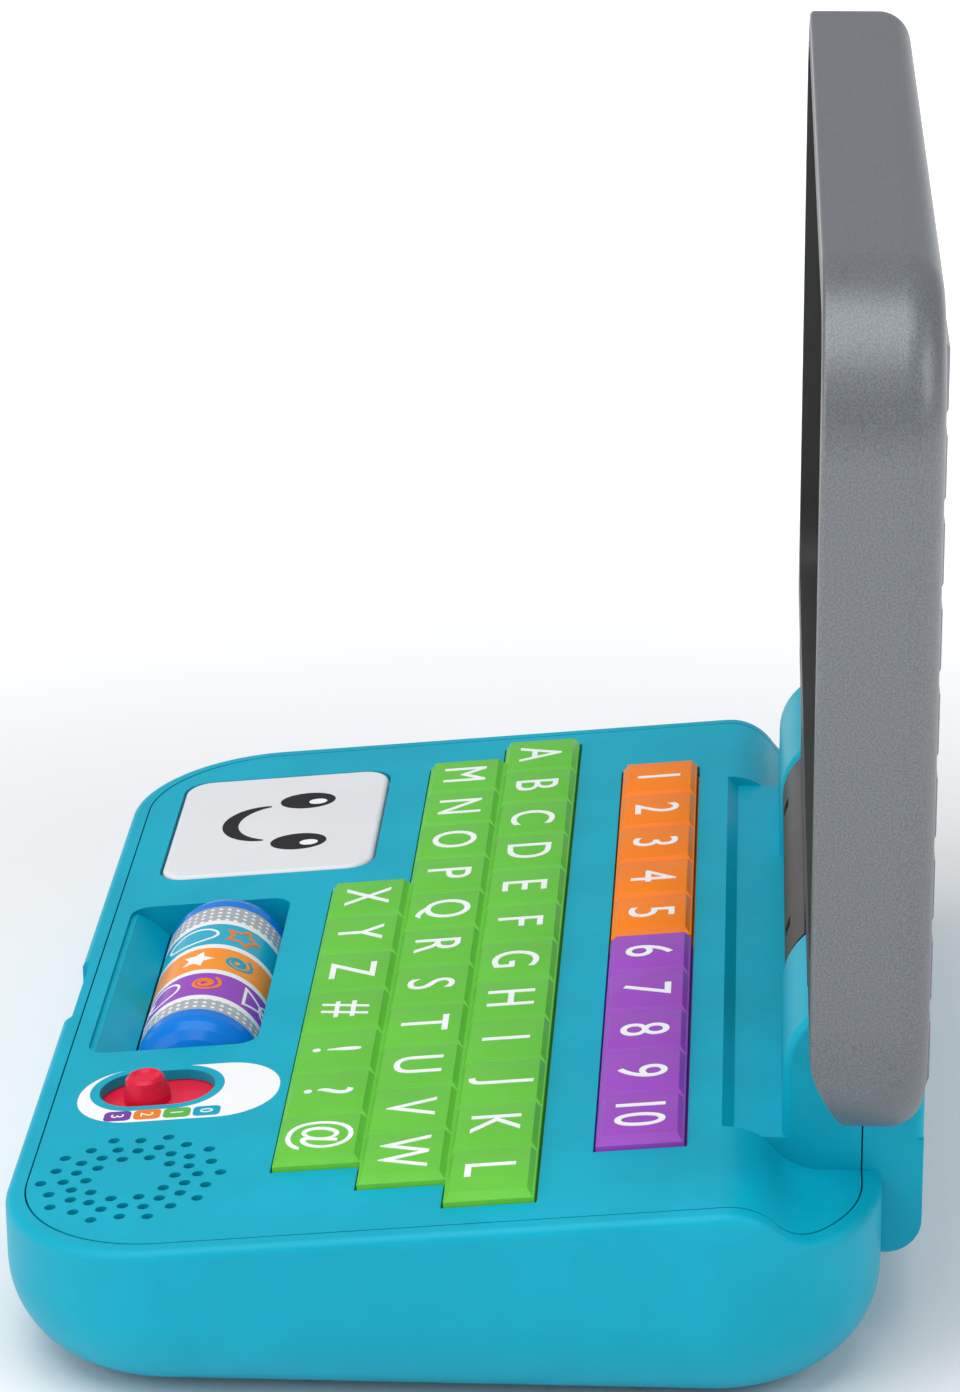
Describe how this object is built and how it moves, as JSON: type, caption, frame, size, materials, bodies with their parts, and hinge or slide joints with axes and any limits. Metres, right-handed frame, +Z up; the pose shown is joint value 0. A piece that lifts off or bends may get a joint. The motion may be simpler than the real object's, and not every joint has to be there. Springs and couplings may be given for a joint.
{
  "type": "toy laptop computer",
  "caption": "Toy laptop with a deep teal case, hinged grey lid, press-down letter and number plates, a face button, a spinning roller, a slider and a speaker grille.",
  "frame": {"origin": "middle of the underside, on the surface it stands on", "axes": "+X the user's right, +Y towards the hinge and lid, +Z up"},
  "size_m": [0.2896, 0.2008, 0.2498],
  "materials": {
    "teal_case": "satin moulded plastic, fine grain",
    "green_keys": "semi-gloss moulded plastic with printed glyphs",
    "orange_keys": "semi-gloss moulded plastic with printed numbers",
    "purple_keys": "semi-gloss moulded plastic with printed numbers",
    "white_plastic": "semi-gloss moulded plastic",
    "blue_plastic": "gloss moulded plastic",
    "red_plastic": "gloss moulded plastic",
    "grey_lid": "satin plastic with a fine metallic grain",
    "dark_panel": "satin dark grey plastic",
    "dark_plastic": "matt",
    "printed_label": "printed gloss label",
    "printed_sleeve": "printed bands",
    "printed_card": "printed card",
    "clear_lens": "clear gloss plastic window",
    "grey_rubber": "matt silicone",
    "circuit_board": "solder mask",
    "lamp": "clear",
    "speaker_paper": "paper cone",
    "battery_sleeve": "satin sleeve",
    "steel": "zinc plated"
  },
  "bodies": {
    "base": {"bottom_shell": "teal_case", "top_shell": "teal_case", "battery_door": "teal_case", "battery_door_screw": "steel", "battery_box": "dark_plastic", "battery_1": "battery_sleeve", "battery_2": "battery_sleeve", "battery_3": "battery_sleeve", "battery_contacts": "steel", "case_screws": "steel", "rubber_feet": "grey_rubber", "letter_dome_mat": "grey_rubber", "number_dome_mat": "grey_rubber", "main_board": "circuit_board", "board_chips": "dark_plastic", "face_button_dome": "grey_rubber", "face_light_board": "circuit_board", "roller_cradle": "teal_case", "slider_label": "printed_label", "slider_switch": "dark_plastic", "speaker_basket": "steel", "speaker_cone": "speaker_paper", "speaker_ring": "dark_plastic", "hinge_bushes": "white_plastic", "friction_clips": "steel"},
    "lid": {"lid_back_shell": "grey_lid", "lid_front_panel": "dark_panel", "lid_screws": "steel", "screen_lens": "clear_lens", "screen_card": "printed_card", "screen_light_board": "circuit_board", "screen_lamps": "lamp", "hinge_pin_left": "steel", "hinge_pin_right": "steel"},
    "letters": {"letter_keypad": "green_keys"},
    "numbers_low": {"number_plate_low": "orange_keys"},
    "numbers_high": {"number_plate_high": "purple_keys"},
    "face": {"face_button": "white_plastic"},
    "roller": {"roller_drum": "white_plastic", "roller_sleeve": "printed_sleeve", "roller_cap_left": "blue_plastic", "roller_cap_right": "blue_plastic", "roller_axle": "steel"},
    "slider": {"slider_knob": "red_plastic"}
  },
  "joints": [
    {"name": "lid_hinge", "type": "hinge", "parent": "base", "child": "lid", "pos_m": [0, 0.08497, 0.06525], "axis": [1, 0, 0], "range_deg": [0, 95]},
    {"name": "letters_press", "type": "slide", "parent": "base", "child": "letters", "axis": [0, 0.0918, -0.9958], "range_m": [0, 0.0015], "stiffness_N_per_m": 1500, "springref_m": -0.001},
    {"name": "numbers_low_press", "type": "slide", "parent": "base", "child": "numbers_low", "axis": [0, 0.0918, -0.9958], "range_m": [0, 0.0015], "stiffness_N_per_m": 1000, "springref_m": -0.001},
    {"name": "numbers_high_press", "type": "slide", "parent": "base", "child": "numbers_high", "axis": [0, 0.0918, -0.9958], "range_m": [0, 0.0015], "stiffness_N_per_m": 1000, "springref_m": -0.001},
    {"name": "face_press", "type": "slide", "parent": "base", "child": "face", "axis": [0, 0.0918, -0.9958], "range_m": [0, 0.0015], "stiffness_N_per_m": 1000, "springref_m": -0.001},
    {"name": "roller_spin", "type": "hinge", "parent": "base", "child": "roller", "pos_m": [0, -0.06688, 0.02814], "axis": [1, 0, 0], "continuous": true},
    {"name": "slider_slide", "type": "slide", "parent": "base", "child": "slider", "axis": [0, 0.9958, 0.0918], "range_m": [-0.0051, 0.0102]}
  ]
}
